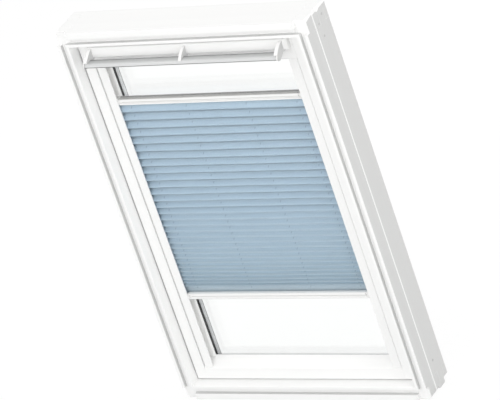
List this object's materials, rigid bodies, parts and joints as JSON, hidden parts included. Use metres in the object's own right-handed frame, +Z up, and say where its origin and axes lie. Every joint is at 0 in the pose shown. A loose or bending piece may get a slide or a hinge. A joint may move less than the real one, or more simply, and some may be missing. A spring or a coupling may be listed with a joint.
{
  "type": "roof window with pleated blind",
  "caption": "Centre-pivot roof window with painted frame, double glazing, top control bar, ventilation flap and a pleated cloth blind held between two sliding rails.",
  "frame": {"origin": "centre of the lower end face of the frame, half way through its depth", "axes": "+X to the right seen from the room, +Y towards the outside of the roof, +Z up along the window"},
  "size_m": [0.78, 0.1572, 1.178],
  "materials": {
    "white_timber": "smooth white paint on timber",
    "white_profile": "satin white coat on aluminium",
    "white_plastic": "satin white moulding",
    "bar_metal": "satin anodised",
    "steel": "zinc plated",
    "grey_cover": "matt grey coat for outdoors",
    "black_rubber": "matt",
    "glass": "clear float glass",
    "spacer_metal": "plain mill finish",
    "filter_foam": "open foam",
    "blind_cloth": "pleated light blue cloth"
  },
  "bodies": {
    "frame": {"frame_head": "white_timber", "frame_side_left": "white_timber", "frame_side_right": "white_timber", "frame_sill": "white_timber", "pivot_plate_left": "steel", "pivot_plate_right": "steel"},
    "sash": {"air_filter": "filter_foam", "blind_side_rail_left": "white_profile", "blind_side_rail_right": "white_profile", "cloth_lower": "blind_cloth", "cloth_upper": "blind_cloth", "flap_lug_left": "steel", "flap_lug_right": "steel", "gasket_head": "black_rubber", "gasket_left": "black_rubber", "gasket_right": "black_rubber", "gasket_sill": "black_rubber", "glass_inner": "glass", "glass_outer": "glass", "glass_spacer": "spacer_metal", "glazing_cover_head": "grey_cover", "glazing_cover_left": "grey_cover", "glazing_cover_right": "grey_cover", "glazing_cover_sill": "grey_cover", "pivot_pin_left": "steel", "pivot_pin_right": "steel", "sash_head": "white_timber", "sash_side_left": "white_timber", "sash_side_right": "white_timber", "sash_sill": "white_timber"},
    "ventilation_flap": {"bar_bracket_left": "white_plastic", "bar_bracket_middle": "white_plastic", "bar_bracket_right": "white_plastic", "control_bar": "bar_metal", "flap_end_left": "white_plastic", "flap_end_right": "white_plastic", "flap_hinge_pin_left": "steel", "flap_hinge_pin_right": "steel", "ventilation_flap": "white_profile"},
    "blind_top_rail": {"blind_top_rail": "white_profile", "blind_top_slider_left": "white_plastic", "blind_top_slider_right": "white_plastic"},
    "blind_bottom_rail": {"blind_bottom_rail": "white_profile", "blind_bottom_slider_left": "white_plastic", "blind_bottom_slider_right": "white_plastic"}
  },
  "joints": [
    {"name": "sash_pivot", "type": "hinge", "parent": "frame", "child": "sash", "pos_m": [0, 0.005, 0.589], "axis": [1, 0, 0], "range_deg": [0, 160]},
    {"name": "flap_hinge", "type": "hinge", "parent": "sash", "child": "ventilation_flap", "pos_m": [0, -0.0345, 1.096], "axis": [1, 0, 0], "range_deg": [0, 35]},
    {"name": "top_rail_slide", "type": "slide", "parent": "sash", "child": "blind_top_rail", "axis": [0, 0, 1], "range_m": [-0.18, 0.09], "deforming": ["cloth_upper"]},
    {"name": "bottom_rail_slide", "type": "slide", "parent": "sash", "child": "blind_bottom_rail", "axis": [0, 0, 1], "range_m": [-0.19, 0.15], "deforming": ["cloth_lower"]}
  ]
}
